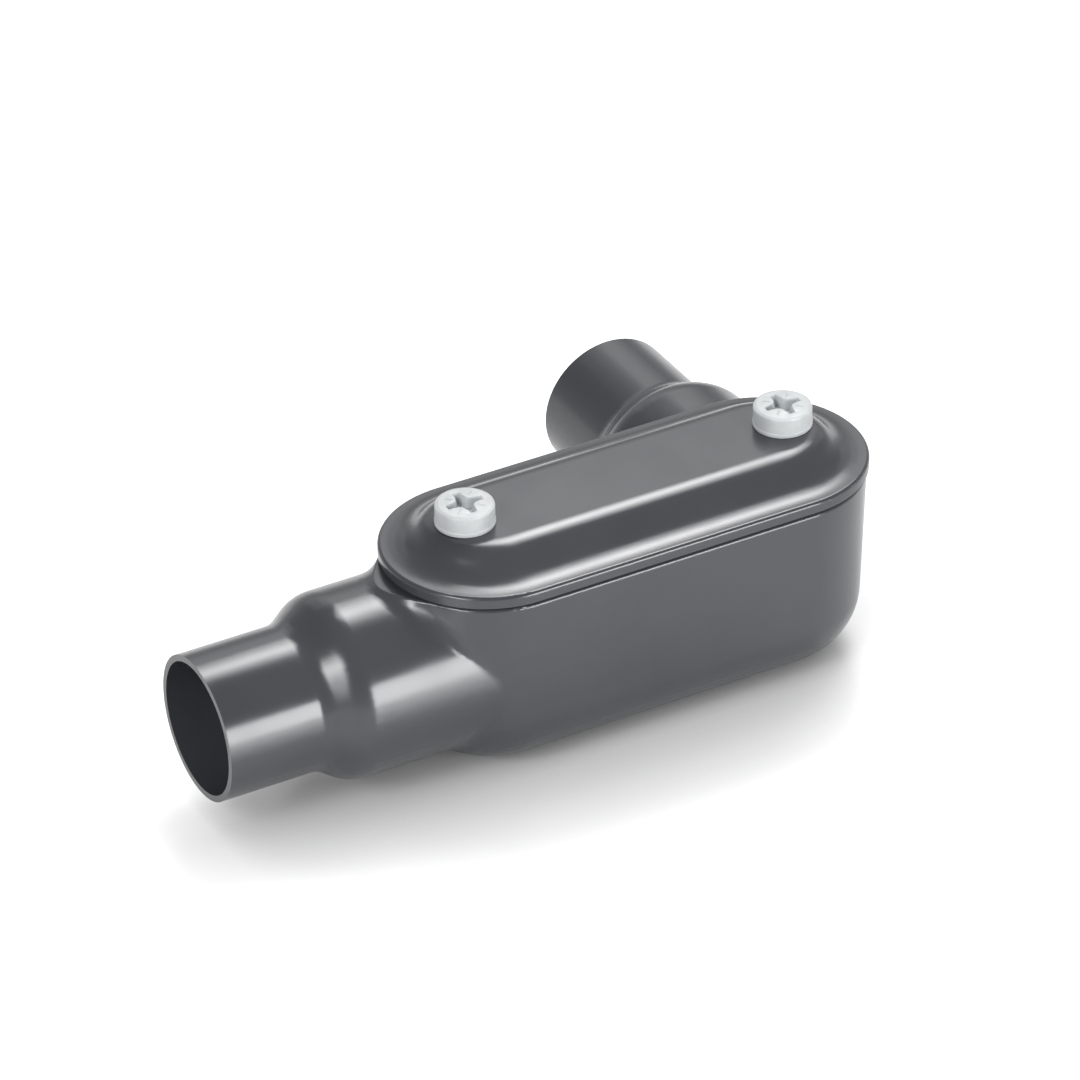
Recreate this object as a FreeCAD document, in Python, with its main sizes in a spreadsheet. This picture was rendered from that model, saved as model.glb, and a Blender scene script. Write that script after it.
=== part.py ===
import FreeCAD, Part
import Sketcher
import math
import os
import re

# PVC-coated conduit body, side-outlet type, for 3/4 inch rigid conduit.
# Frame: X along the run, with the run hub towards -X; the side hub points to +Y; Z is up to the cover.
# The origin is the middle of the flat back of the body, so z = 0 is the back face.

doc = FreeCAD.newDocument("conduit_body")

# Driving dimensions, in millimetres and degrees.
DIMENSIONS = [
    # Body: iron casting with its bonded PVC coat, all sizes taken over the coat.
    ("body_length", 110.4),
    ("side_margin", 2.05),
    ("hub_lift", 2.75),
    ("hub_drop", 0.65),
    ("draft_angle", 2.0),
    ("bottom_radius", 14.5),
    ("wall_thickness", 4.0),
    ("rim_edge_radius", 0.8),
    # Hubs: barrel, shoulder and sleeve, measured outwards from the face of the body.
    ("hub_radius", 20.15),
    ("hub_root_radius", 6.0),
    ("side_hub_inset", 1.05),
    ("shoulder_start", 16.5),
    ("shoulder_angle", 34.0),
    ("shoulder_crest_share", 0.38),
    ("shoulder_foot_share", 0.25),
    ("sleeve_start", 21.0),
    ("hub_projection", 45.6),
    ("sleeve_bore_radius", 14.35),
    ("sleeve_wall", 1.4),
    ("thread_radius", 13.0),
    ("thread_length", 16.0),
    ("mouth_chamfer", 0.8),
    ("throat_radius", 10.45),
    ("throat_lip_radius", 1.5),
    # Cover screws and the bosses that they run into.
    ("screw_inset", 17.2),
    ("boss_radius", 4.6),
    ("boss_clearance", 1.85),
    ("shank_radius", 2.2),
    ("thread_clearance", 0.08),
    ("shank_tip_clearance", 0.9),
    ("shank_tip_chamfer", 0.6),
    ("screw_hole_clearance", 0.4),
    # Gasket.
    ("gasket_thickness", 0.8),
    ("gasket_inset", 0.9),
    ("gasket_land", 6.2),
    # Cover: pressed plate with its own bonded PVC coat.
    ("cover_overhang", 0.5),
    ("cover_thickness", 2.5),
    ("flange_edge_radius", 0.8),
    ("flange_flat", 0.2),
    ("dome_height", 5.7),
    ("dome_slope_angle", 46.0),
    ("dome_crest_share", 0.4),
    ("dome_foot_share", 0.52),
    ("inner_foot_radius", 3.5),
    # Screw heads: a moulded cap over the metal head.
    ("cap_radius", 6.2),
    ("cap_height", 4.8),
    ("cap_lip_height", 0.6),
    ("cap_lip_step", 0.12),
    ("cap_edge_radius", 0.9),
    ("cap_floor", 1.0),
    ("metal_head_radius", 4.1),
    ("metal_head_height", 1.2),
    ("recess_span", 7.8),
    ("recess_width", 1.7),
    ("recess_depth", 1.9),
]

# Material left above the rim while the hub roots are blended, then machined off.
TRIM_ALLOWANCE = "12"

# How far a cut runs past the face that it opens.
OVERRUN = "1"

# How near a point lies to a place to count as on it.
TOLERANCE = 1e-3

sizes = doc.addObject("Spreadsheet::Sheet", "sizes")
for row, (name, value) in enumerate(DIMENSIONS, start=1):
    sizes.set("A%d" % row, name)
    sizes.set("B%d" % row, str(value))
    sizes.setAlias("B%d" % row, name)
doc.recompute()

NAMES = "|".join(name for name, value in DIMENSIONS)


def formula(text):
    """Write a formula of dimension names as an expression on the sheet."""
    return re.sub(r"\b(%s)\b" % NAMES, r"sizes.\1", text)


def measure(text):
    """Work a formula out as a number."""
    result = sizes.evalExpression(formula(text))
    return float(getattr(result, "Value", result))


def bind(feature, settings):
    """Tie properties of a feature to formulas."""
    for prop, text in settings.items():
        feature.setExpression(prop, formula(text))


# The hubs set the body's section: it clears their barrels by a margin on every side.
FACE_X = "(body_length / 2)"
FACE_Y = "(hub_radius + side_margin)"
HUB_AXIS = "(hub_lift + hub_radius)"
RIM = "(hub_lift + 2 * hub_radius + hub_drop)"
SIDE_HUB_X = "(body_length / 2 - hub_radius - side_hub_inset)"
SLEEVE_RADIUS = "(sleeve_bore_radius + sleeve_wall)"

# Levels of the cover, and the places of the two screws along the run.
FLANGE_BOTTOM = "(%s + gasket_thickness)" % RIM
FLANGE_TOP = "(%s + cover_thickness)" % FLANGE_BOTTOM
PLATEAU = "(%s + dome_height)" % FLANGE_TOP
# The bosses end just above the throats, and the screws end just above the bosses' open ends.
BOSS_BOTTOM = "(%s + throat_radius + boss_clearance)" % HUB_AXIS
SCREW_PLACES = (("left", "-(body_length / 2 - screw_inset)"), ("right", "(body_length / 2 - screw_inset)"))


def new_body(name):
    return doc.addObject("PartDesign::Body", name)


def new_sketch(body, name, plane, offset=None, rotation=None):
    """Attach a sketch to one of the body's origin planes, moved by formulas for x, y and z."""
    sketch = body.newObject("Sketcher::SketchObject", name)
    roles = {feature.Role: feature for feature in body.Origin.OriginFeatures}
    sketch.AttachmentSupport = [(roles[plane], "")]
    sketch.MapMode = "FlatFace"
    if rotation:
        sketch.AttachmentOffset = FreeCAD.Placement(FreeCAD.Vector(), rotation)
    for axis, text in (offset or {}).items():
        sketch.setExpression("AttachmentOffset.Base." + axis, formula(text))
    return sketch


def hold(sketch, geometry, point, x_text, y_text):
    """Fix a point of the sketch at the place that two formulas give."""
    for kind, axis, text in (("DistanceX", -2, x_text), ("DistanceY", -1, y_text)):
        if text == "0":
            sketch.addConstraint(Sketcher.Constraint("PointOnObject", geometry, point, axis))
            continue
        value = measure(text)
        index = sketch.addConstraint(Sketcher.Constraint(kind, -1, 1, geometry, point, value))
        sketch.setExpression("Constraints[%d]" % index, formula(text))


def tangent_arc(corner, before, after, radius):
    """An arc that rounds a corner, with its ends on the two sides and the side that it starts on."""
    half_angle = before.getAngle(after) / 2
    centre = corner + (before + after).normalize() * (radius / math.sin(half_angle))
    first = corner + before * (radius / math.tan(half_angle))
    last = corner + after * (radius / math.tan(half_angle))
    anticlockwise = (first - centre).cross(last - centre).z > 0
    angles = [math.atan2(point.y - centre.y, point.x - centre.x) for point in (first, last)]
    if not anticlockwise:
        angles.reverse()
    if angles[1] < angles[0]:
        angles[1] += 2 * math.pi
    circle = Part.Circle(centre, FreeCAD.Vector(0, 0, 1), radius)
    return Part.ArcOfCircle(circle, angles[0], angles[1]), first, last, anticlockwise


def polygon(sketch, corners):
    """A closed outline through corners given by formulas: x, y and, where it is rounded, a radius."""
    places = [FreeCAD.Vector(measure(corner[0]), measure(corner[1]), 0) for corner in corners]
    count = len(places)
    starts = list(places)
    ends = list(places)
    arcs = {}
    for index, corner in enumerate(corners):
        if len(corner) == 3:
            before = (places[index - 1] - places[index]).normalize()
            after = (places[(index + 1) % count] - places[index]).normalize()
            arc, ends[index], starts[index], forwards = tangent_arc(places[index], before, after,
                                                                    measure(corner[2]))
            arcs[index] = (arc, forwards)
    for index in range(count):
        sketch.addGeometry(Part.LineSegment(starts[index], ends[(index + 1) % count]), False)
    for index, corner in enumerate(corners):
        previous = (index - 1) % count
        if index not in arcs:
            sketch.addConstraint(Sketcher.Constraint("Coincident", previous, 2, index, 1))
            hold(sketch, index, 1, corner[0], corner[1])
            continue
        arc, forwards = arcs[index]
        curve = sketch.addGeometry(arc, False)
        first, last = (1, 2) if forwards else (2, 1)
        sketch.addConstraint(Sketcher.Constraint("Tangent", previous, 2, curve, first))
        sketch.addConstraint(Sketcher.Constraint("Tangent", curve, last, index, 1))
        radius = sketch.addConstraint(Sketcher.Constraint("Radius", curve, measure(corner[2])))
        sketch.setExpression("Constraints[%d]" % radius, formula(corner[2]))
        apex = sketch.addGeometry(Part.Point(places[index]), True)
        hold(sketch, apex, 1, corner[0], corner[1])
        sketch.addConstraint(Sketcher.Constraint("PointOnObject", apex, 1, previous))
        sketch.addConstraint(Sketcher.Constraint("PointOnObject", apex, 1, index))


def circle(sketch, x_text, y_text, radius_text):
    centre = FreeCAD.Vector(measure(x_text), measure(y_text), 0)
    geometry = sketch.addGeometry(Part.Circle(centre, FreeCAD.Vector(0, 0, 1), measure(radius_text)), False)
    hold(sketch, geometry, 3, x_text, y_text)
    index = sketch.addConstraint(Sketcher.Constraint("Radius", geometry, measure(radius_text)))
    sketch.setExpression("Constraints[%d]" % index, formula(radius_text))


def obround(sketch, half_length_text, half_width_text):
    """Two straight sides joined by two half circles, centred on the sketch."""
    half_width = measure(half_width_text)
    reach = measure(half_length_text) - half_width
    up = FreeCAD.Vector(0, 0, 1)
    quarter = math.pi / 2
    right_end = Part.Circle(FreeCAD.Vector(reach, 0, 0), up, half_width)
    left_end = Part.Circle(FreeCAD.Vector(-reach, 0, 0), up, half_width)
    sketch.addGeometry(Part.LineSegment(FreeCAD.Vector(-reach, -half_width, 0),
                                        FreeCAD.Vector(reach, -half_width, 0)), False)
    sketch.addGeometry(Part.ArcOfCircle(right_end, -quarter, quarter), False)
    sketch.addGeometry(Part.LineSegment(FreeCAD.Vector(reach, half_width, 0),
                                        FreeCAD.Vector(-reach, half_width, 0)), False)
    sketch.addGeometry(Part.ArcOfCircle(left_end, quarter, 3 * quarter), False)
    for first, second in ((0, 1), (1, 2), (2, 3), (3, 0)):
        sketch.addConstraint(Sketcher.Constraint("Tangent", first, 2, second, 1))
    sketch.addConstraint(Sketcher.Constraint("Symmetric", 1, 3, 3, 3, -1, 1))
    sketch.addConstraint(Sketcher.Constraint("PointOnObject", 1, 3, -1))
    sketch.addConstraint(Sketcher.Constraint("Equal", 1, 3))
    radius = sketch.addConstraint(Sketcher.Constraint("Radius", 1, half_width))
    sketch.setExpression("Constraints[%d]" % radius, formula(half_width_text))
    length = sketch.addConstraint(Sketcher.Constraint("DistanceX", 3, 3, 1, 3, 2 * reach))
    sketch.setExpression("Constraints[%d]" % length,
                         formula("2 * ((%s) - (%s))" % (half_length_text, half_width_text)))


def pad(body, name, sketch, length, downwards=False, taper=None, pocket=False):
    kind = "PartDesign::Pocket" if pocket else "PartDesign::Pad"
    feature = body.newObject(kind, name)
    feature.Profile = sketch
    feature.Reversed = downwards
    bind(feature, {"Length": length})
    if taper:
        bind(feature, {"TaperAngle": taper})
    sketch.Visibility = False
    doc.recompute()
    return feature


def revolve(body, name, sketch, axis="H_Axis"):
    feature = body.newObject("PartDesign::Revolution", name)
    feature.Profile = sketch
    feature.ReferenceAxis = (sketch, [axis])
    feature.Angle = 360
    doc.recompute()
    return feature


def edges_where(shape, test):
    """Names of the edges that pass a test."""
    return ["Edge%d" % number for number, edge in enumerate(shape.Edges, start=1) if test(edge)]


def round_edges(body, name, test, radius):
    """Fillet the edges of the body's present shape that pass a test."""
    base = body.Tip
    chosen = edges_where(base.Shape, test)
    feature = body.newObject("PartDesign::Fillet", name)
    feature.Base = (base, chosen)
    bind(feature, {"Radius": radius})
    doc.recompute()
    return feature


def samples(edge, count=7):
    return edge.discretize(count)


def at_height(text):
    """Test for edges that lie in a level plane."""
    height = measure(text)
    return lambda edge: all(abs(point.z - height) < TOLERANCE for point in samples(edge))


def on_outline(height_text, half_width_text):
    """Test for the edges of a level outline that keeps one distance from the middle line."""
    level = at_height(height_text)
    half_width = measure(half_width_text)
    straight = measure(FACE_X + " - " + FACE_Y)

    def test(edge):
        offsets = [math.hypot(max(abs(point.x) - straight, 0), point.y) for point in samples(edge)]
        return level(edge) and all(abs(offset - half_width) < TOLERANCE for offset in offsets)

    return test


def on_hub_root(hub, radius_text):
    """Test for the edges where a hub's barrel meets the body."""
    radius = measure(radius_text)

    def test(edge):
        reaches = []
        for point in samples(edge):
            along, across = hub_coordinates(hub, point)
            if abs(across - radius) > TOLERANCE:
                return False
            reaches.append(along)
        return edge.Curve.TypeId != "Part::GeomLine" and max(reaches) < measure("shoulder_start") / 2

    return test


def hub_coordinates(hub, point):
    """Reach beyond the body's face and distance from the hub's axis."""
    drop = point.z - measure(HUB_AXIS)
    if hub == "run":
        return -point.x - measure(FACE_X), math.hypot(point.y, drop)
    return point.y - measure(FACE_Y), math.hypot(point.x - measure(SIDE_HUB_X), drop)


def hub_sketch(body, name, hub):
    """A sketch with its origin where a hub's axis meets the face, x outwards and y away from the axis."""
    if hub == "run":
        turn = FreeCAD.Rotation(FreeCAD.Vector(0, 1, 0), 180)
        return new_sketch(body, name, "XZ_Plane", {"x": "-" + FACE_X, "y": HUB_AXIS}, turn)
    return new_sketch(body, name, "YZ_Plane", {"x": FACE_Y, "y": HUB_AXIS, "z": SIDE_HUB_X})


HUBS = ("run", "side")


def tub(body, name, inset):
    """The body's tapered form, set in by a thickness and left long at the rim."""
    outline = new_sketch(body, name + "_outline", "XY_Plane", {"z": inset})
    foot = "((%s - %s) * tan(draft_angle) + %s / cos(draft_angle))" % (RIM, inset, inset)
    obround(outline, "%s - %s" % (FACE_X, foot), "%s - %s" % (FACE_Y, foot))
    height = "%s + %s - %s" % (RIM, TRIM_ALLOWANCE, inset)
    pad(body, name + "_sides", outline, height, taper="draft_angle")
    round_edges(body, name + "_bottom_edge", at_height(inset), "bottom_radius - %s" % inset)


def check():
    doc.recompute()
    failed = [item.Name for item in doc.Objects if "Invalid" in item.State or "Error" in item.State]
    if failed:
        raise RuntimeError("failed objects: " + ", ".join(failed))


# Outside of the body, with its hubs: barrel, sloping shoulder and the thin sleeve that grips the conduit.
outside = new_body("outside")
tub(outside, "body", "0")
ROOT_DEPTH = FACE_Y
SLOPE_FOOT = "(shoulder_start + (hub_radius - %s) / tan(shoulder_angle))" % SLEEVE_RADIUS
# A share of the slope's length goes to the rounding at each of its ends.
SLOPE_PER_TURN = "((hub_radius - %s) / sin(shoulder_angle) / tan(shoulder_angle / 2))" % SLEEVE_RADIUS
for hub in HUBS:
    profile = hub_sketch(outside, hub + "_hub_profile", hub)
    polygon(profile, [
        ("-" + ROOT_DEPTH, "0"),
        ("hub_projection", "0"),
        ("hub_projection", SLEEVE_RADIUS),
        (SLOPE_FOOT, SLEEVE_RADIUS, "shoulder_foot_share * " + SLOPE_PER_TURN),
        ("shoulder_start", "hub_radius", "shoulder_crest_share * " + SLOPE_PER_TURN),
        ("-" + ROOT_DEPTH, "hub_radius"),
    ])
    revolve(outside, hub + "_hub", profile)
for hub in HUBS:
    round_edges(outside, hub + "_hub_root", on_hub_root(hub, "hub_radius"), "hub_root_radius")

# The rim is machined flat, with its sharp outer edge taken off.
rim_face = new_sketch(outside, "rim_face", "XY_Plane", {"z": RIM})
obround(rim_face, "2 * " + FACE_X, "2 * " + FACE_Y)
pad(outside, "rim_cut", rim_face, TRIM_ALLOWANCE + " + " + OVERRUN, pocket=True, downwards=True)
round_edges(outside, "rim_edge", at_height(RIM), "rim_edge_radius")

# The hollow: wiring chamber with a boss at each end for the cover screws.
hollow = new_body("hollow")
BOSS_HEIGHT = "%s - %s" % (RIM, BOSS_BOTTOM)
tub(hollow, "chamber", "wall_thickness")
for name, place in SCREW_PLACES:
    end = ("-" if name == "left" else "") + FACE_X
    web = new_sketch(hollow, name + "_boss_web_outline", "XY_Plane", {"z": RIM})
    polygon(web, [
        (place, "-boss_radius"),
        (end, "-boss_radius"),
        (end, "boss_radius"),
        (place, "boss_radius"),
    ])
    pad(hollow, name + "_boss_web", web, BOSS_HEIGHT, pocket=True)
    ring = new_sketch(hollow, name + "_boss_outline", "XY_Plane", {"z": RIM})
    circle(ring, place, "0", "boss_radius")
    pad(hollow, name + "_boss", ring, BOSS_HEIGHT, pocket=True)
    hole = new_sketch(hollow, name + "_tapped_hole_outline", "XY_Plane", {"z": RIM})
    circle(hole, place, "0", "shank_radius + thread_clearance")
    pad(hollow, name + "_tapped_hole", hole, BOSS_HEIGHT, downwards=True)

# Way in through each hub: sleeve bore, tapped length, and the throat, a smooth ring that guards the wires.
THROAT_START = "(sleeve_start - thread_length)"
THROAT_END = "-(wall_thickness + throat_radius)"
for hub in HUBS:
    passage = hub_sketch(hollow, hub + "_passage_profile", hub)
    polygon(passage, [
        (THROAT_END, "0"),
        ("hub_projection + " + OVERRUN, "0"),
        ("hub_projection + " + OVERRUN, "sleeve_bore_radius"),
        ("sleeve_start", "sleeve_bore_radius"),
        ("sleeve_start", "thread_radius + mouth_chamfer"),
        ("sleeve_start - mouth_chamfer", "thread_radius"),
        (THROAT_START, "thread_radius"),
        (THROAT_START, "throat_radius", "throat_lip_radius"),
        (THROAT_END, "throat_radius"),
    ])
    revolve(hollow, hub + "_passage", passage)
for hub in HUBS:
    round_edges(hollow, hub + "_throat_inner_lip", on_hub_root(hub, "throat_radius"), "throat_lip_radius")


def cut(label, base, tool):
    """One solid less another, under the label that names the finished piece."""
    piece = doc.addObject("Part::Cut", label)
    piece.Label = label
    piece.Base = base
    piece.Tool = tool
    doc.recompute()
    return piece


housing = cut("body", outside, hollow)

# Flat gasket on the rim, with a land at each end that the screw passes through.
SCREW_HOLE = "shank_radius + screw_hole_clearance"
gasket = new_body("gasket")
gasket_outline = new_sketch(gasket, "gasket_outline", "XY_Plane", {"z": RIM})
obround(gasket_outline, FACE_X + " - gasket_inset", FACE_Y + " - gasket_inset")
pad(gasket, "gasket_sheet", gasket_outline, "gasket_thickness")
gasket_opening = new_sketch(gasket, "gasket_opening", "XY_Plane", {"z": RIM})
obround(gasket_opening, FACE_X + " - screw_inset - gasket_land", FACE_Y + " - wall_thickness")
pad(gasket, "gasket_window", gasket_opening, "gasket_thickness", downwards=True, pocket=True)
for name, place in SCREW_PLACES:
    hole = new_sketch(gasket, name + "_gasket_hole_outline", "XY_Plane", {"z": RIM})
    circle(hole, place, "0", SCREW_HOLE)
    pad(gasket, name + "_gasket_hole", hole, "gasket_thickness", downwards=True, pocket=True)


# The dome's slope is rounded at both ends: a share of its length goes to the crest and one to the foot.
DOME_SLOPE = "(dome_height / sin(dome_slope_angle))"
CREST_RADIUS = "(dome_crest_share * %s / tan(dome_slope_angle / 2))" % DOME_SLOPE
FOOT_RADIUS = "(dome_foot_share * %s / tan(dome_slope_angle / 2))" % DOME_SLOPE
FOOT_SETBACK = "(flange_edge_radius + flange_flat + dome_foot_share * %s)" % DOME_SLOPE


def cover_form(name, inset, flange_start, foot_radius):
    """The domed cover, set in by a thickness: flange, sloping side and flat top."""
    body = new_body(name)
    top = "(%s - %s)" % (FLANGE_TOP, inset)
    flange = new_sketch(body, name + "_flange_outline", "XY_Plane", {"z": flange_start})
    half_length = "%s + cover_overhang - %s" % (FACE_X, inset)
    half_width = "%s + cover_overhang - %s" % (FACE_Y, inset)
    obround(flange, half_length, half_width)
    pad(body, name + "_flange", flange, "%s - %s" % (top, flange_start))
    dome = new_sketch(body, name + "_dome_outline", "XY_Plane", {"z": top})
    margin = "cover_overhang - %s - %s * tan(dome_slope_angle / 2)" % (FOOT_SETBACK, inset)
    obround(dome, "%s + %s" % (FACE_X, margin), "%s + %s" % (FACE_Y, margin))
    pad(body, name + "_dome", dome, "dome_height", taper="dome_slope_angle - 90")
    round_edges(body, name + "_crest", at_height("%s + dome_height" % top), "%s - %s" % (CREST_RADIUS, inset))
    round_edges(body, name + "_foot", on_outline(top, "%s + %s" % (FACE_Y, margin)), foot_radius)
    return body


# The cover, hollow underneath, with its flange edge rounded and a hole for each screw.
cover_outside = cover_form("cover_outside", "0", FLANGE_BOTTOM, FOOT_RADIUS)
round_edges(cover_outside, "flange_edge", on_outline(FLANGE_TOP, FACE_Y + " + cover_overhang"),
            "flange_edge_radius")
for name, place in SCREW_PLACES:
    hole = new_sketch(cover_outside, name + "_cover_hole_outline", "XY_Plane", {"z": FLANGE_BOTTOM})
    circle(hole, place, "0", SCREW_HOLE)
    pad(cover_outside, name + "_cover_hole", hole, "%s - %s" % (PLATEAU, FLANGE_BOTTOM),
        downwards=True, pocket=True)
cover_inside = cover_form("cover_inside", "cover_thickness", "(%s - %s)" % (FLANGE_BOTTOM, OVERRUN),
                          "inner_foot_radius")
cover = cut("cover", cover_outside, cover_inside)


def stand(body, place):
    """Stand a screw piece on the flat top of the cover."""
    bind(body, {"Placement.Base.x": place, "Placement.Base.z": PLATEAU})


SHANK_END = "(%s + shank_tip_clearance - %s)" % (BOSS_BOTTOM, PLATEAU)


def cover_screw(label, place):
    """Stainless screw: plain shank, its thread left off, and a flat head that the cap is moulded over."""
    body = new_body(label)
    profile = new_sketch(body, label + "_profile", "XZ_Plane")
    polygon(profile, [
        ("0", SHANK_END),
        ("shank_radius - shank_tip_chamfer", SHANK_END),
        ("shank_radius", SHANK_END + " + shank_tip_chamfer"),
        ("shank_radius", "cap_floor"),
        ("metal_head_radius", "cap_floor"),
        ("metal_head_radius", "cap_floor + metal_head_height"),
        ("0", "cap_floor + metal_head_height"),
    ])
    revolve(body, label + "_turning", profile, axis="V_Axis")
    stand(body, place)
    return body


def screw_cap(label, place, screw):
    """Moulded cap: round head with a small lip at its foot and a cross recess."""
    body = new_body(label + "_blank")
    profile = new_sketch(body, label + "_profile", "XZ_Plane")
    polygon(profile, [
        ("0", "0"),
        ("cap_radius", "0"),
        ("cap_radius", "cap_lip_height"),
        ("cap_radius - cap_lip_step", "cap_lip_height"),
        ("cap_radius - cap_lip_step", "cap_height", "cap_edge_radius"),
        ("0", "cap_height"),
    ])
    revolve(body, label + "_turning", profile, axis="V_Axis")
    for name, half_x, half_y in (("long", "recess_span / 2", "recess_width / 2"),
                                 ("cross", "recess_width / 2", "recess_span / 2")):
        slot = new_sketch(body, "%s_%s_slot" % (label, name), "XY_Plane", {"z": "cap_height"})
        polygon(slot, [
            ("-" + half_x, "-" + half_y),
            (half_x, "-" + half_y),
            (half_x, half_y),
            ("-" + half_x, half_y),
        ])
        pad(body, "%s_%s_arm" % (label, name), slot, "recess_depth", pocket=True)
    stand(body, place)
    return cut(label, body, screw)


screws = []
caps = []
for number, (name, place) in enumerate(SCREW_PLACES, start=1):
    screw = cover_screw("cover_screw_%d" % number, place)
    screws.append(screw)
    caps.append(screw_cap("screw_cap_%d" % number, place, screw))

# Each piece is one sound solid before any is written.
PIECES = [housing, gasket, cover] + screws + caps
check()
for piece in PIECES:
    shape = piece.Shape
    if shape.isNull() or not shape.isValid() or len(shape.Solids) != 1:
        raise RuntimeError("%s is not one sound solid" % piece.Label)
os.makedirs("parts", exist_ok=True)
for piece in PIECES:
    piece.Shape.exportStep("parts/%s.step" % piece.Label)
    print(piece.Label, "%.0f mm3" % piece.Shape.Volume)
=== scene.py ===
import math

import bmesh
import bpy
from mathutils import Matrix, Vector


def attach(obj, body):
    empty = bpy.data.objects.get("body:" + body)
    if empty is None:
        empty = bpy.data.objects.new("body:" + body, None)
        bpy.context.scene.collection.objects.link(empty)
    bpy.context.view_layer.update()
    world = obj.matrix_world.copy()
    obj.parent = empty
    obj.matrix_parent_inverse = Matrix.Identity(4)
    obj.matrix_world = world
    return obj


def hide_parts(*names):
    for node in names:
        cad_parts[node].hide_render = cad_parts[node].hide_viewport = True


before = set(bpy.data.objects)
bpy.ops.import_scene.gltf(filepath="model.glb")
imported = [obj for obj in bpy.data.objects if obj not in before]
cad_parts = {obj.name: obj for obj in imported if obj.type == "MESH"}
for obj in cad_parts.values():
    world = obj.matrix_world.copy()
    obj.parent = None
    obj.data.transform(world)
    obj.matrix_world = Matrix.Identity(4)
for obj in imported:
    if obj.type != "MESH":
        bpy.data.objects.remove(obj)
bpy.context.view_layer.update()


# The body is one malleable-iron casting with a dark grey PVC coat bonded all over its outside.
# The coat runs on past each hub as a thin sleeve. Inside, the iron is only lacquered, and the
# hubs are bored and tapped for the conduit after casting.
FACE_X, FACE_Y, RIM = 0.0552, 0.0222, 0.0437
WALL, DRAFT = 0.004, math.tan(math.radians(2))
HUB_AXIS, SIDE_HUB_X = 0.0229, 0.034
THROAT_END, THROAT_START, SLEEVE_START = -0.0055, 0.005, 0.021
THREAD_RADIUS, THREAD_DEPTH = 0.013, 0.0009
FOOT_TOP = 0.0175
HUB_SLACK, WALL_SLACK, LEVEL_SLACK = 0.0005, 0.0004, 0.0001
DOWNWARD = -0.05
NOISE_BAND = (0.35, 0.65)
WELD_DISTANCE, EDGE_ANGLE = 0.000001, 28


def srgb(code):
    """A hex colour as the linear values that a shader takes."""
    parts = [int(code[i:i + 2], 16) / 255 for i in (1, 3, 5)]
    return tuple(c / 12.92 if c <= 0.04045 else ((c + 0.055) / 1.055) ** 2.4 for c in parts) + (1,)


def add_node(tree, kind, settings=None, links=None):
    """Add a node with its settings, and link its inputs from other nodes' outputs."""
    node = tree.nodes.new(kind)
    for name, value in (settings or {}).items():
        if isinstance(name, int) or (not hasattr(node, name) and name in node.inputs):
            node.inputs[name].default_value = value
        else:
            setattr(node, name, value)
    for name, source in (links or {}).items():
        tree.links.new(source, node.inputs[name])
    return node


def finish_with(name, surface, colours, patch, roughness, wipe, grain, depth, detail):
    """A coated, cast, rolled or moulded finish, with its sizes in metres.

    The colour drifts between two over a patch, the roughness between two over a wipe, and the
    surface rises and falls by a depth over a grain.
    """
    made = bpy.data.materials.new(name)
    made.use_nodes = True
    tree = made.node_tree
    tree.nodes.clear()
    place = add_node(tree, "ShaderNodeTexCoord").outputs["Object"]
    drift = add_node(tree, "ShaderNodeTexNoise", {"Scale": 1 / patch, "Detail": 4.0}, {"Vector": place})
    tint = add_node(tree, "ShaderNodeValToRGB", None, {"Fac": drift.outputs["Fac"]})
    for number, colour in enumerate(colours):
        tint.color_ramp.elements[number].position = NOISE_BAND[number]
        tint.color_ramp.elements[number].color = srgb(colour)
    wear = add_node(tree, "ShaderNodeTexNoise", {"Scale": 1 / wipe, "Detail": 5.0}, {"Vector": place})
    rough = add_node(tree, "ShaderNodeMapRange",
                     {"From Min": NOISE_BAND[0], "From Max": NOISE_BAND[1],
                      "To Min": roughness[0], "To Max": roughness[1]},
                     {"Value": wear.outputs["Fac"]})
    relief = add_node(tree, "ShaderNodeTexNoise", {"Scale": 1 / grain, "Detail": detail},
                      {"Vector": place})
    bump = add_node(tree, "ShaderNodeBump", {"Strength": 1.0, "Distance": depth},
                    {"Height": relief.outputs["Fac"]})
    shader = add_node(tree, "ShaderNodeBsdfPrincipled", surface,
                      {"Base Color": tint.outputs["Color"], "Roughness": rough.outputs["Result"],
                       "Normal": bump.outputs["Normal"]})
    add_node(tree, "ShaderNodeOutputMaterial", None, {"Surface": shader.outputs["BSDF"]})
    return made


# Dip-coated PVC: soft gloss with a faint orange peel, about 1.6 mm from crest to crest.
pvc = finish_with("dip_coated_dark_grey_pvc", {"IOR": 1.58, "Metallic": 0.0},
                  colours=("#3f4145", "#434549"), patch=0.030,
                  roughness=(0.18, 0.23), wipe=0.012,
                  grain=0.0016, depth=0.000004, detail=1.0)
# Sand-cast iron under a thin clear lacquer: brownish grey, and grainy at about 0.7 mm. Its colour is
# set darker than lacquered iron, as painted shade inside the body and its hub mouths.
iron = finish_with("lacquered_sand_cast_iron", {"IOR": 1.5, "Metallic": 0.25},
                   colours=("#36332f", "#48443f"), patch=0.006,
                   roughness=(0.45, 0.62), wipe=0.003,
                   grain=0.0007, depth=0.00009, detail=3.0)
# Bored and tapped iron: bare metal, brighter, with tool marks drawn at 0.3 mm so that they show.
# Its colour is still set darker than bare iron, as painted shade deep in the hub bores.
tapped = finish_with("bored_and_tapped_iron", {"Metallic": 1.0},
                     colours=("#66635e", "#787570"), patch=0.003,
                     roughness=(0.28, 0.42), wipe=0.001,
                     grain=0.0003, depth=0.00001, detail=2.0)


def spine_distance(point):
    """Distance from the middle line that the body's outline keeps all round."""
    return math.hypot(max(abs(point.x) - (FACE_X - FACE_Y), 0), point.y)


def hub_place(point, hub):
    """Reach beyond the body's face, and distance from the hub's axis."""
    drop = point.z - HUB_AXIS
    if hub == "run":
        return -point.x - FACE_X, math.hypot(point.y, drop)
    return point.y - FACE_Y, math.hypot(point.x - SIDE_HUB_X, drop)


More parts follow.
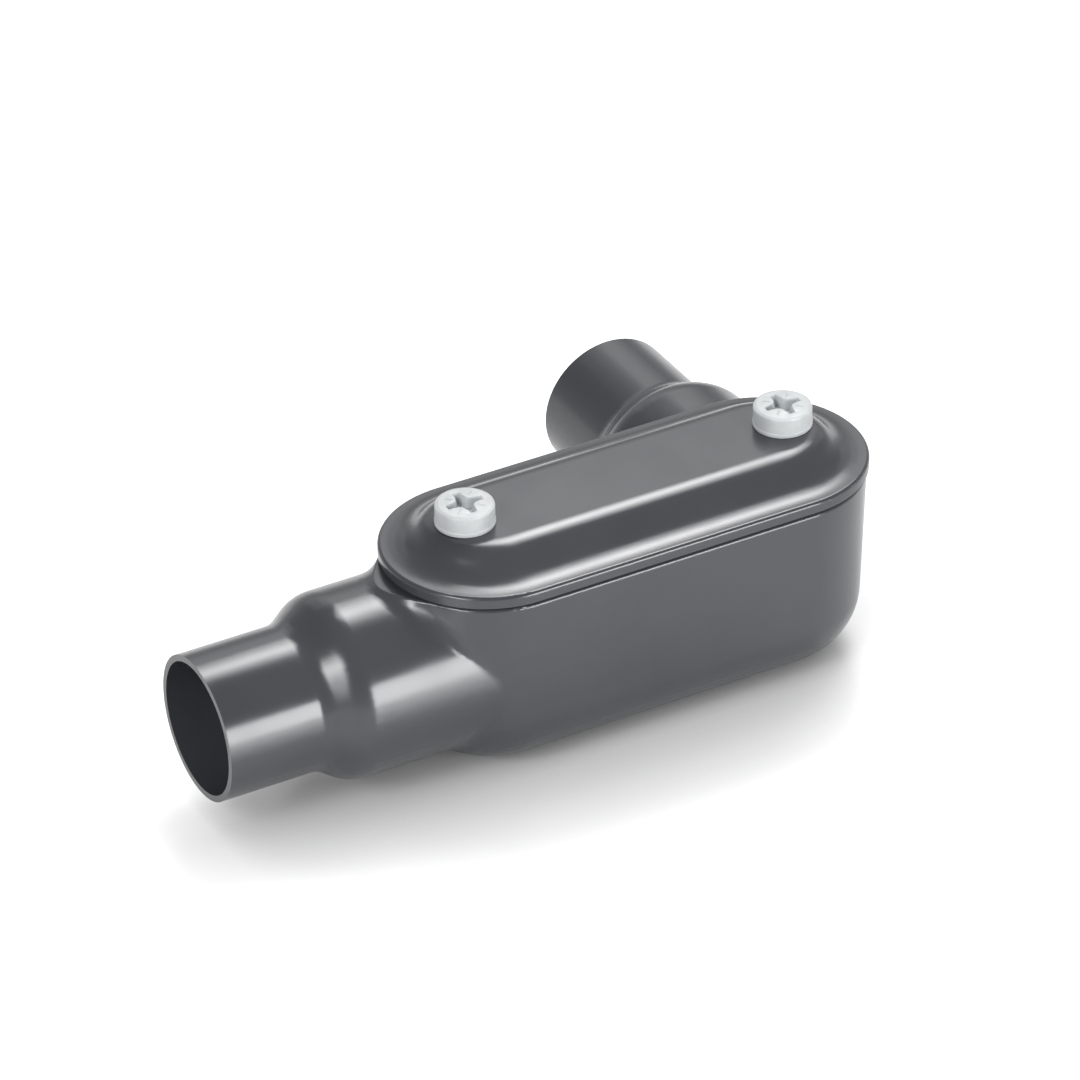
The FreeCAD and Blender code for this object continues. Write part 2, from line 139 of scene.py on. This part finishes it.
def body_finish(centre, normal):
    """A face's finish: 0 for the PVC coat, 1 for cast iron, 2 for bored iron."""
    for hub in ("run", "side"):
        reach, across = hub_place(centre, hub)
        bored = THROAT_START - HUB_SLACK < reach < SLEEVE_START + HUB_SLACK
        if bored and across < THREAD_RADIUS + THREAD_DEPTH:
            return 2
        if THROAT_END < reach <= THROAT_START and across < THREAD_RADIUS:
            return 1
    half_width = FACE_Y - (RIM - centre.z) * DRAFT
    within_walls = spine_distance(centre) < half_width - WALL + WALL_SLACK
    above_floor = WALL - LEVEL_SLACK < centre.z < RIM + LEVEL_SLACK
    round_foot = centre.z < FOOT_TOP and normal.z < DOWNWARD
    return 1 if within_walls and above_floor and not round_foot else 0


def smooth_by_angle():
    """A tree that welds a CAD mesh's loose triangles and shades it smooth, with its real edges sharp."""
    tree = bpy.data.node_groups.new("smooth_cad_skin", "GeometryNodeTree")
    tree.interface.new_socket("Geometry", in_out="INPUT", socket_type="NodeSocketGeometry")
    tree.interface.new_socket("Edge angle", in_out="INPUT", socket_type="NodeSocketFloat")
    tree.interface.new_socket("Geometry", in_out="OUTPUT", socket_type="NodeSocketGeometry")
    start = add_node(tree, "NodeGroupInput")
    weld = add_node(tree, "GeometryNodeMergeByDistance", {"Distance": WELD_DISTANCE},
                    {"Geometry": start.outputs["Geometry"]})
    angle = add_node(tree, "GeometryNodeInputMeshEdgeAngle")
    sharp = add_node(tree, "FunctionNodeCompare", {"data_type": "FLOAT", "operation": "GREATER_THAN"},
                     {"A": angle.outputs["Unsigned Angle"], "B": start.outputs["Edge angle"]})
    faces = add_node(tree, "GeometryNodeSetShadeSmooth", {"domain": "FACE", "Shade Smooth": True},
                     {"Geometry": weld.outputs["Geometry"]})
    edges = add_node(tree, "GeometryNodeSetShadeSmooth", {"domain": "EDGE", "Shade Smooth": False},
                     {"Geometry": faces.outputs["Geometry"], "Selection": sharp.outputs["Result"]})
    add_node(tree, "NodeGroupOutput", None, {"Geometry": edges.outputs["Geometry"]})
    return tree


skin_tree = smooth_by_angle()


def set_input(modifier, name, value):
    """Set a Geometry Nodes modifier's input by its socket's identifier."""
    for item in modifier.node_group.interface.items_tree:
        if item.in_out == "INPUT" and item.name == name:
            modifier[item.identifier] = value


def smooth_skin(piece, edge_angle=EDGE_ANGLE):
    """Modifiers that shade a piece smooth, with its edges sharp from an angle in degrees."""
    skin = piece.modifiers.new("skin", "NODES")
    skin.node_group = skin_tree
    set_input(skin, "Edge angle", math.radians(edge_angle))
    weights = piece.modifiers.new("face_weights", "WEIGHTED_NORMAL")
    weights.mode = "FACE_AREA_WITH_ANGLE"
    weights.keep_sharp = True


def dress(node, *finishes, rule=None):
    """Give a CAD piece its finishes and a smooth skin. The rule picks a finish for each face."""
    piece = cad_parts[node]
    piece.data.materials.clear()
    for finish in finishes:
        piece.data.materials.append(finish)
    if rule:
        for face in piece.data.polygons:
            face.material_index = rule(face.center, face.normal)
    smooth_skin(piece)


dress("body", pvc, iron, tapped, rule=body_finish)


# The threads of the two hubs are cut into the iron, 14 to the inch, from the throat's ring to just
# short of the sleeve. The conduit's own threaded end screws in as far as that ring.
INCH = 0.0254
HUB_PITCH = INCH / 14
RING_CLEARANCE, MOUTH_CLEARANCE = 0.0004, 0.0016
STEPS_PER_TURN, RIDGE_SIDES = 48, 4


def thread_tree():
    """Geometry Nodes: joins a screw-thread ridge to the mesh that it is given, as one mesh."""
    tree = bpy.data.node_groups.new("screw_thread", "GeometryNodeTree")
    tree.interface.new_socket("Geometry", in_out="INPUT", socket_type="NodeSocketGeometry")
    for name in ("Radius", "Pitch", "Length", "Ridge", "Start"):
        tree.interface.new_socket(name, in_out="INPUT", socket_type="NodeSocketFloat")
    tree.interface.new_socket("Material", in_out="INPUT", socket_type="NodeSocketMaterial")
    tree.interface.new_socket("Geometry", in_out="OUTPUT", socket_type="NodeSocketGeometry")
    start = add_node(tree, "NodeGroupInput").outputs
    turns = add_node(tree, "ShaderNodeMath", {"operation": "DIVIDE"},
                     {0: start["Length"], 1: start["Pitch"]})
    helix = add_node(tree, "GeometryNodeCurveSpiral", {"Resolution": STEPS_PER_TURN},
                     {"Rotations": turns.outputs[0], "Start Radius": start["Radius"],
                      "End Radius": start["Radius"], "Height": start["Length"]})
    along = add_node(tree, "GeometryNodeSplineParameter").outputs["Factor"]
    back_along = add_node(tree, "ShaderNodeMath", {"operation": "SUBTRACT", 0: 1.0}, {1: along})
    nearest = add_node(tree, "ShaderNodeMath", {"operation": "MINIMUM"},
                       {0: along, 1: back_along.outputs[0]})
    fade = add_node(tree, "ShaderNodeMath", {"operation": "MULTIPLY", "use_clamp": True},
                    {0: nearest.outputs[0], 1: turns.outputs[0]})
    tapered = add_node(tree, "GeometryNodeSetCurveRadius", None,
                       {"Curve": helix.outputs["Curve"], "Radius": fade.outputs[0]})
    section = add_node(tree, "GeometryNodeCurvePrimitiveCircle", {"Resolution": RIDGE_SIDES},
                       {"Radius": start["Ridge"]})
    ridge = add_node(tree, "GeometryNodeCurveToMesh", {"Fill Caps": True},
                     {"Curve": tapered.outputs["Curve"], "Profile Curve": section.outputs["Curve"]})
    lift = add_node(tree, "ShaderNodeCombineXYZ", None, {"Z": start["Start"]})
    placed = add_node(tree, "GeometryNodeTransform", None,
                      {"Geometry": ridge.outputs["Mesh"], "Translation": lift.outputs["Vector"]})
    joined = add_node(tree, "GeometryNodeJoinGeometry", None, {"Geometry": placed.outputs["Geometry"]})
    tree.links.new(start["Geometry"], joined.inputs["Geometry"])
    real = add_node(tree, "GeometryNodeRealizeInstances", None, {"Geometry": joined.outputs["Geometry"]})
    painted = add_node(tree, "GeometryNodeSetMaterial", None,
                       {"Geometry": real.outputs["Geometry"], "Material": start["Material"]})
    add_node(tree, "NodeGroupOutput", None, {"Geometry": painted.outputs["Geometry"]})
    return tree


helix_tree = thread_tree()


def threaded(name, core, settings):
    """A mesh with a thread ridge round its Z axis, baked from the Geometry Nodes tree."""
    blank = bpy.data.objects.new(name + "_blank", core)
    bpy.context.scene.collection.objects.link(blank)
    cutting = blank.modifiers.new("thread", "NODES")
    cutting.node_group = helix_tree
    for key, value in settings.items():
        set_input(cutting, key, value)
    depsgraph = bpy.context.evaluated_depsgraph_get()
    baked = bpy.data.meshes.new_from_object(blank.evaluated_get(depsgraph), depsgraph=depsgraph)
    bpy.data.objects.remove(blank)
    baked.name = name
    return baked


def joined_mesh(name, parts):
    """One mesh from several, each moved by its own matrix."""
    whole = bmesh.new()
    for mesh, matrix in parts:
        mesh.transform(matrix)
        whole.from_mesh(mesh)
    result = bpy.data.meshes.new(name)
    whole.to_mesh(result)
    whole.free()
    for material in parts[0][0].materials:
        result.materials.append(material)
    return result


def new_piece(name, mesh, body, replaced=None, edge_angle=EDGE_ANGLE):
    """Put a finished mesh in the scene as a piece of the object, riding on its CAD body."""
    piece = bpy.data.objects.new(name, mesh)
    bpy.context.scene.collection.objects.link(piece)
    smooth_skin(piece, edge_angle)
    if replaced:
        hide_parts(replaced)
    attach(piece, body)


hub_thread = {"Radius": THREAD_RADIUS, "Pitch": HUB_PITCH, "Ridge": THREAD_DEPTH,
              "Length": SLEEVE_START - THROAT_START - MOUTH_CLEARANCE,
              "Start": THROAT_START + RING_CLEARANCE, "Material": tapped}
run_way = Matrix.Translation((-FACE_X, 0, HUB_AXIS)) @ Matrix.Rotation(-math.pi / 2, 4, "Y")
side_way = Matrix.Translation((SIDE_HUB_X, FACE_Y, HUB_AXIS)) @ Matrix.Rotation(-math.pi / 2, 4, "X")
hub_threads = joined_mesh("hub_threads", [
    (threaded("run_hub_thread", bpy.data.meshes.new("run_bore"), hub_thread), run_way),
    (threaded("side_hub_thread", bpy.data.meshes.new("side_bore"), hub_thread), side_way),
])
new_piece("hub_threads", hub_threads, "housing")


# The gasket is a flat sheet of black chloroprene rubber, punched out. It lies on the machined rim
# of the body and is nipped by the cover. Punched rubber is matt, with a fine talc grain at 0.4 mm.
# Its colour is set blacker than black rubber, as painted shade in the seam under the cover.
rubber = finish_with("punched_black_rubber", {"IOR": 1.5},
                     colours=("#090909", "#0e0e0e"), patch=0.004,
                     roughness=(0.72, 0.85), wipe=0.003,
                     grain=0.0004, depth=0.00002, detail=2.0)
dress("gasket", rubber)


# The cover is a pressed steel plate with the same bonded PVC coat over all of it. Its dome stands
# on a narrow flange, and the two screws hold it down on the gasket.
dress("cover", pvc)


# Each cover screw is turned and thread-rolled from stainless bar, 24 threads to the inch. Its shank
# passes through the cover and the gasket into a boss of the body, and its head is inside the cap.
SCREW_PLACES = {1: (-0.038, "screw_left"), 2: (0.038, "screw_right")}
PLATEAU = 0.0527
TIP, THREAD_TOP, NECK_BOTTOM = -0.0166, -0.0062, -0.0057
CHAMFER, TIP_RADIUS, ROOT_RADIUS, NECK_RADIUS = 0.0005, 0.0012, 0.00168, 0.0022
HEAD_BOTTOM, HEAD_TOP, HEAD_RADIUS = 0.001, 0.0022, 0.0041
# Rolled stainless: bright, with a satin sheen from the dies drawn at 0.2 mm so that it shows.
stainless = finish_with("rolled_stainless_steel", {"Metallic": 1.0},
                        colours=("#b4b4b2", "#c2c2c0"), patch=0.002,
                        roughness=(0.20, 0.32), wipe=0.001,
                        grain=0.0002, depth=0.000004, detail=2.0)
screw_thread = {"Radius": 0.00175, "Pitch": INCH / 24, "Length": 0.0102, "Ridge": 0.00045,
                "Start": -0.0163, "Material": stainless}


def lathe(name, outline, steps):
    """A closed mesh turned round Z from an outline of (radius, height).

    The outline starts on the axis at the top, runs round the outside and ends on the axis below,
    so that the faces point outwards.
    """
    points, faces, rings = [], [], []
    for radius, height in outline:
        if radius == 0:
            rings.append([len(points)] * steps)
            points.append((0, 0, height))
            continue
        rings.append([len(points) + step for step in range(steps)])
        for step in range(steps):
            angle = 2 * math.pi * step / steps
            points.append((radius * math.cos(angle), radius * math.sin(angle), height))
    for inner, outer in zip(rings, rings[1:]):
        for step in range(steps):
            following = (step + 1) % steps
            corners = (inner[step], outer[step], outer[following], inner[following])
            faces.append(tuple(dict.fromkeys(corners)))
    mesh = bpy.data.meshes.new(name)
    mesh.from_pydata(points, [], faces)
    mesh.update()
    return mesh


shank_outline = [(0, HEAD_TOP), (HEAD_RADIUS, HEAD_TOP), (HEAD_RADIUS, HEAD_BOTTOM),
                 (NECK_RADIUS, HEAD_BOTTOM), (NECK_RADIUS, NECK_BOTTOM), (ROOT_RADIUS, THREAD_TOP),
                 (ROOT_RADIUS, TIP + CHAMFER), (TIP_RADIUS, TIP), (0, TIP)]
for number, (place, body) in SCREW_PLACES.items():
    shank = lathe("screw_shank", shank_outline, STEPS_PER_TURN)
    screw = threaded("screw_%d" % number, shank, screw_thread)
    screw.transform(Matrix.Translation((place, 0, PLATEAU)))
    new_piece("threaded_cover_screw_%d" % number, screw, body, "cover_screw_%d" % number)


# Each cap is moulded over its screw's head in pale grey nylon: a low drum with a rounded top edge,
# a thin flash at its foot, and a cross recess whose arms narrow outwards, with a short radial tick
# on each of the four lobes between them.
CAP_TOP, CAP_RADIUS, FLASH_RADIUS, CAP_FOOT = 0.0048, 0.00626, 0.00637, 0.0062
EDGE_ROUND, EDGE_STEPS, FACE_EDGE = 0.0009, 8, 0.0045
RING_STEP, RINGS, CAP_STEPS, CAP_EDGE_ANGLE = 0.00009, 59, 240, 50
FACE_DROP, RECESS_DEPTH, RECESS_EDGE, ARM_BLEND = 0.00012, 0.0023, 0.0003, 0.0009
ARM_HALF_WIDTH, ARM_TAPER, TAPER_START, ARM_REACH = 0.00105, 0.21, 0.001, 0.0038
LOBE_RISE, LOBE_SIDES, LOBE_ENDS = 0.00012, (0.0022, 0.0016), (0.0052, 0.003)
TICK_DEPTH, TICK_SIDES = 0.00016, (0.00024, 0.00006)
TICK_STARTS, TICK_ENDS = (0.0026, 0.003), (0.0046, 0.0042)
# Moulded nylon: pale and satin, almost even in colour, with a faint grain at 0.5 mm.
cap_plastic = finish_with("moulded_pale_grey_nylon", {"IOR": 1.53},
                          colours=("#c0c4c5", "#c8cccd"), patch=0.003,
                          roughness=(0.34, 0.44), wipe=0.002,
                          grain=0.0005, depth=0.000006, detail=2.0)


def smooth_step(start, end, value):
    """0 on the start's side and 1 on the end's side, with a smooth change between."""
    share = min(max((value - start) / (end - start), 0), 1)
    return share * share * (3 - 2 * share)


def arm_gap(along, across):
    """Distance outside one arm of the recess, negative inside: it narrows towards its tips."""
    half_width = ARM_HALF_WIDTH - ARM_TAPER * max(abs(along) - TAPER_START, 0)
    return max(abs(across) - half_width, abs(along) - ARM_REACH)


def recess(x, y):
    """How far the cap's top is sunk or raised at a place."""
    first, second = arm_gap(x, y), arm_gap(y, x)
    mixed = max(ARM_BLEND - abs(first - second), 0) / ARM_BLEND
    gap = min(first, second) - mixed * mixed * ARM_BLEND / 4
    sunk = 1 - smooth_step(-RECESS_EDGE, RECESS_EDGE, gap)
    reach, off_tick = math.hypot(x, y), abs(abs(x) - abs(y)) / math.sqrt(2)
    lobe = smooth_step(*LOBE_SIDES, off_tick) * smooth_step(*LOBE_ENDS, reach)
    tick_reach = smooth_step(*TICK_STARTS, reach) * smooth_step(*TICK_ENDS, reach)
    tick = tick_reach * smooth_step(*TICK_SIDES, off_tick)
    return LOBE_RISE * lobe * (1 - sunk) - FACE_DROP - RECESS_DEPTH * sunk - TICK_DEPTH * tick


cap_outline = [(RING_STEP * step, CAP_TOP) for step in range(RINGS + 1)]
for step in range(1, EDGE_STEPS + 1):
    angle = math.pi / 2 * step / EDGE_STEPS
    cap_outline.append((CAP_RADIUS - EDGE_ROUND + EDGE_ROUND * math.sin(angle),
                        CAP_TOP - EDGE_ROUND + EDGE_ROUND * math.cos(angle)))
# The drum's side, the flash that stands 0.11 mm proud of it, the foot and the hollow for the head.
cap_outline += [(CAP_RADIUS, 0.00102), (0.00628, 0.00094), (0.00634, 0.0009), (FLASH_RADIUS, 0.00082),
                (FLASH_RADIUS, 0.00012), (0.00629, 0.00002), (CAP_FOOT, 0), (NECK_RADIUS, 0),
                (NECK_RADIUS, HEAD_BOTTOM), (HEAD_RADIUS, HEAD_BOTTOM), (HEAD_RADIUS, HEAD_TOP),
                (0, HEAD_TOP)]
for number, (place, body) in SCREW_PLACES.items():
    cap = lathe("cap_%d" % number, cap_outline, CAP_STEPS)
    for vertex in cap.vertices:
        if vertex.co.z > FACE_EDGE:
            vertex.co.z += recess(vertex.co.x, vertex.co.y)
    cap.update()
    cap.materials.append(cap_plastic)
    cap.transform(Matrix.Translation((place, 0, PLATEAU)))
    new_piece("recessed_cap_%d" % number, cap, body, "screw_cap_%d" % number,
              edge_angle=CAP_EDGE_ANGLE)


# Stage: a plain white acrylic table in a dim studio with a pale horizon, five softboxes where the
# photograph shows them in the coat's reflections, and the photograph's own viewpoint. The table
# glows for the camera, for mirrors and through glass, and lights nothing.
TABLE_REACH, MIRRORED_SHARE = 4, 0.7
GLOW_NEAR, GLOW_FAR, NEAR, FAR = 0.82, 1.0, 0.25, 1.5
SHADE_REACH, SHADE_POWER = 0.05, 2.0
HORIZON, OVERHEAD, HORIZON_TOP = 0.65, 0.22, 0.4
LAMP_AIM, LAYER_STEP = Vector((0, 0, 0.025)), 0.002
VIEW_TARGET, VIEW_DISTANCE = Vector((-0.01824, 0.00424, 0.03932)), 1.22689
VIEW_ANGLES = (-28.579, 33.055, -0.896)

acrylic = bpy.data.materials.new("white_acrylic_table")
acrylic.use_nodes = True
tree = acrylic.node_tree
tree.nodes.clear()
sheet = add_node(tree, "ShaderNodeBsdfPrincipled",
                 {"Base Color": srgb("#cccccc"), "Roughness": 0.22, "IOR": 1.45})
ray = add_node(tree, "ShaderNodeLightPath")
glossy = add_node(tree, "ShaderNodeMath", {"operation": "MULTIPLY", 1: MIRRORED_SHARE},
                  {0: ray.outputs["Is Glossy Ray"]})
mirrored = add_node(tree, "ShaderNodeMath", {"operation": "MAXIMUM"},
                    {0: ray.outputs["Is Camera Ray"], 1: glossy.outputs[0]})
seen = add_node(tree, "ShaderNodeMath", {"operation": "MAXIMUM"},
                {0: mirrored.outputs[0], 1: ray.outputs["Is Transmission Ray"]})
place = add_node(tree, "ShaderNodeTexCoord").outputs["Object"]
away = add_node(tree, "ShaderNodeVectorMath", {"operation": "LENGTH"}, {0: place})
# The glow grows away from the lamps, so that the table stays white out to the horizon.
level = add_node(tree, "ShaderNodeMapRange",
                 {"From Min": NEAR, "From Max": FAR, "To Min": GLOW_NEAR, "To Max": GLOW_FAR},
                 {"Value": away.outputs["Value"]})
# Close to the object the glow is shaded by it, as a table under a wide soft sky is.
shade = add_node(tree, "ShaderNodeAmbientOcclusion", {"Distance": SHADE_REACH})
soft_shade = add_node(tree, "ShaderNodeMath", {"operation": "POWER", 1: SHADE_POWER},
                      {0: shade.outputs["AO"]})
shaded = add_node(tree, "ShaderNodeMath", {"operation": "MULTIPLY"},
                  {0: level.outputs["Result"], 1: soft_shade.outputs[0]})
strength = add_node(tree, "ShaderNodeMath", {"operation": "MULTIPLY"},
                    {0: seen.outputs[0], 1: shaded.outputs[0]})
glow = add_node(tree, "ShaderNodeEmission", {"Color": (1, 1, 1, 1)}, {"Strength": strength.outputs[0]})
both = add_node(tree, "ShaderNodeAddShader", None, {0: sheet.outputs[0], 1: glow.outputs[0]})
add_node(tree, "ShaderNodeOutputMaterial", None, {"Surface": both.outputs[0]})
floor_mesh = bpy.data.meshes.new("floor")
floor_mesh.from_pydata([(-TABLE_REACH, -TABLE_REACH, 0), (TABLE_REACH, -TABLE_REACH, 0),
                        (TABLE_REACH, TABLE_REACH, 0), (-TABLE_REACH, TABLE_REACH, 0)], [], [(0, 1, 2, 3)])
floor_mesh.materials.append(acrylic)
floor = bpy.data.objects.new("floor", floor_mesh)
bpy.context.scene.collection.objects.link(floor)

# The studio is white where the camera looks past the table. In reflections it dims upwards.
world = bpy.data.worlds.new("studio")
bpy.context.scene.world = world
world.use_nodes = True
tree = world.node_tree
tree.nodes.clear()
way = add_node(tree, "ShaderNodeTexCoord").outputs["Generated"]
height = add_node(tree, "ShaderNodeSeparateXYZ", None, {"Vector": way})
level = add_node(tree, "ShaderNodeMapRange",
                 {"From Min": 0.0, "From Max": HORIZON_TOP, "To Min": HORIZON, "To Max": OVERHEAD},
                 {"Value": height.outputs["Z"]})
ray = add_node(tree, "ShaderNodeLightPath")
looked_at = add_node(tree, "ShaderNodeMath", {"operation": "MAXIMUM"},
                     {0: ray.outputs["Is Camera Ray"], 1: ray.outputs["Is Transmission Ray"]})
white = add_node(tree, "ShaderNodeMath", {"operation": "MAXIMUM"},
                 {0: level.outputs["Result"], 1: looked_at.outputs[0]})
sky = add_node(tree, "ShaderNodeBackground", {"Color": (1, 1, 1, 1)}, {"Strength": white.outputs[0]})
add_node(tree, "ShaderNodeOutputWorld", None, {"Surface": sky.outputs[0]})


def outwards(azimuth, elevation):
    """The direction of an azimuth from -Y towards +X and an elevation, both in radians."""
    return Vector((math.sin(azimuth) * math.cos(elevation), -math.cos(azimuth) * math.cos(elevation),
                   math.sin(elevation)))


def softbox(name, azimuth, elevation, distance, spread, radiance, layers=(1,)):
    """A rectangular studio light, with its place and its spread across and upwards in degrees.

    Several layers, each a share of its size, give it a lit cloth's bright middle and soft edge.
    """
    azimuth, elevation, across, upwards = (math.radians(v) for v in (azimuth, elevation, *spread))
    away = outwards(azimuth, elevation)
    for number, share in enumerate(layers):
        lamp = bpy.data.lights.new("%s_%d" % (name, number), "AREA")
        lamp.shape = "RECTANGLE"
        lamp.size = 2 * distance * math.tan(share * across / 2) * math.cos(elevation)
        lamp.size_y = 2 * distance * math.tan(share * upwards / 2)
        lamp.energy = radiance / len(layers) * math.pi * lamp.size * lamp.size_y
        box = bpy.data.objects.new(lamp.name, lamp)
        box.location = LAMP_AIM + away * (distance - LAYER_STEP * number)
        box.rotation_euler = away.to_track_quat("Z", "Y").to_euler()
        bpy.context.scene.collection.objects.link(box)


softbox("low_front_right", azimuth=18.5, elevation=9, distance=0.8, spread=(25, 24), radiance=11.5)
softbox("high_behind_right", azimuth=138, elevation=56, distance=1.0, spread=(41, 23), radiance=14,
        layers=(1.3, 0.85, 0.45))
softbox("high_left", azimuth=-66, elevation=37, distance=1.0, spread=(22, 19), radiance=14,
        layers=(1.15, 0.85, 0.5))
softbox("low_left", azimuth=-54, elevation=21, distance=1.1, spread=(12, 24), radiance=6,
        layers=(1.3, 0.9, 0.5))
softbox("pale_panel_behind", azimuth=150, elevation=32, distance=1.2, spread=(56, 22), radiance=1.2,
        layers=(1.4, 0.9, 0.5))

camera = bpy.data.cameras.new("product_camera")
camera.sensor_width = 36
camera.lens = 196.163
camera.clip_end = 50
eye = bpy.data.objects.new("product_camera", camera)
azimuth, elevation, roll = (math.radians(v) for v in VIEW_ANGLES)
eye.location = VIEW_TARGET + outwards(azimuth, elevation) * VIEW_DISTANCE
eye.rotation_mode = "QUATERNION"
turn = Matrix.Rotation(azimuth, 3, "Z") @ Matrix.Rotation(math.pi / 2 - elevation, 3, "X")
eye.rotation_quaternion = (turn @ Matrix.Rotation(roll, 3, "Z")).to_quaternion()
bpy.context.scene.collection.objects.link(eye)
bpy.context.scene.camera = eye
bpy.context.scene.view_settings.view_transform = "Standard"
